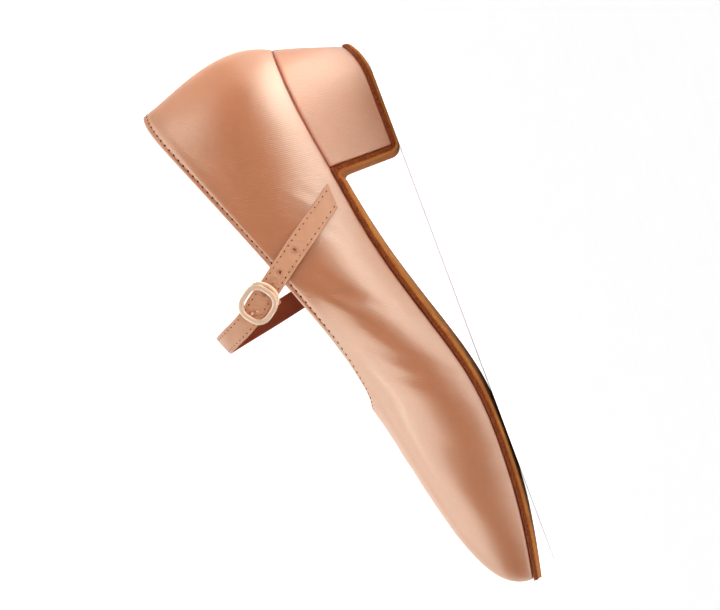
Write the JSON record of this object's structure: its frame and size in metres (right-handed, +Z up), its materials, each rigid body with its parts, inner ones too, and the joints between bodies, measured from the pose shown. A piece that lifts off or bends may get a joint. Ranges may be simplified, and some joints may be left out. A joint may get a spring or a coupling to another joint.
{
  "type": "ballroom dance shoe",
  "caption": "Closed-toe satin ballroom court shoe for the left foot with a low block heel, a suede sole and a buckled instep strap.",
  "frame": {"origin": "on the floor, under the middle of the whole shoe's box", "axes": "+Z up from the floor, toe towards -X and heel towards +X, outer (lateral) side towards -Y and inner (medial) side towards +Y"},
  "size_m": [0.2478, 0.0786, 0.0991],
  "materials": {
    "satin": "tan polyester satin with a soft sheen along its fine twill",
    "suede": "ochre chrome suede, nap out, with a dark brown fuzzy cut edge",
    "sock_lining": "soft matt tan sock and lining",
    "strap_leather": "smooth tan leatherette, slightly glossy, red-brown inside",
    "buckle_metal": "polished light gold plating"
  },
  "bodies": {
    "root": {"upper": "satin", "heel_block": "satin", "outsole": "suede", "insole": "sock_lining", "strap": "strap_leather", "buckle_tab": "strap_leather", "buckle_frame": "buckle_metal", "buckle_prong": "buckle_metal"}
  },
  "joints": []
}
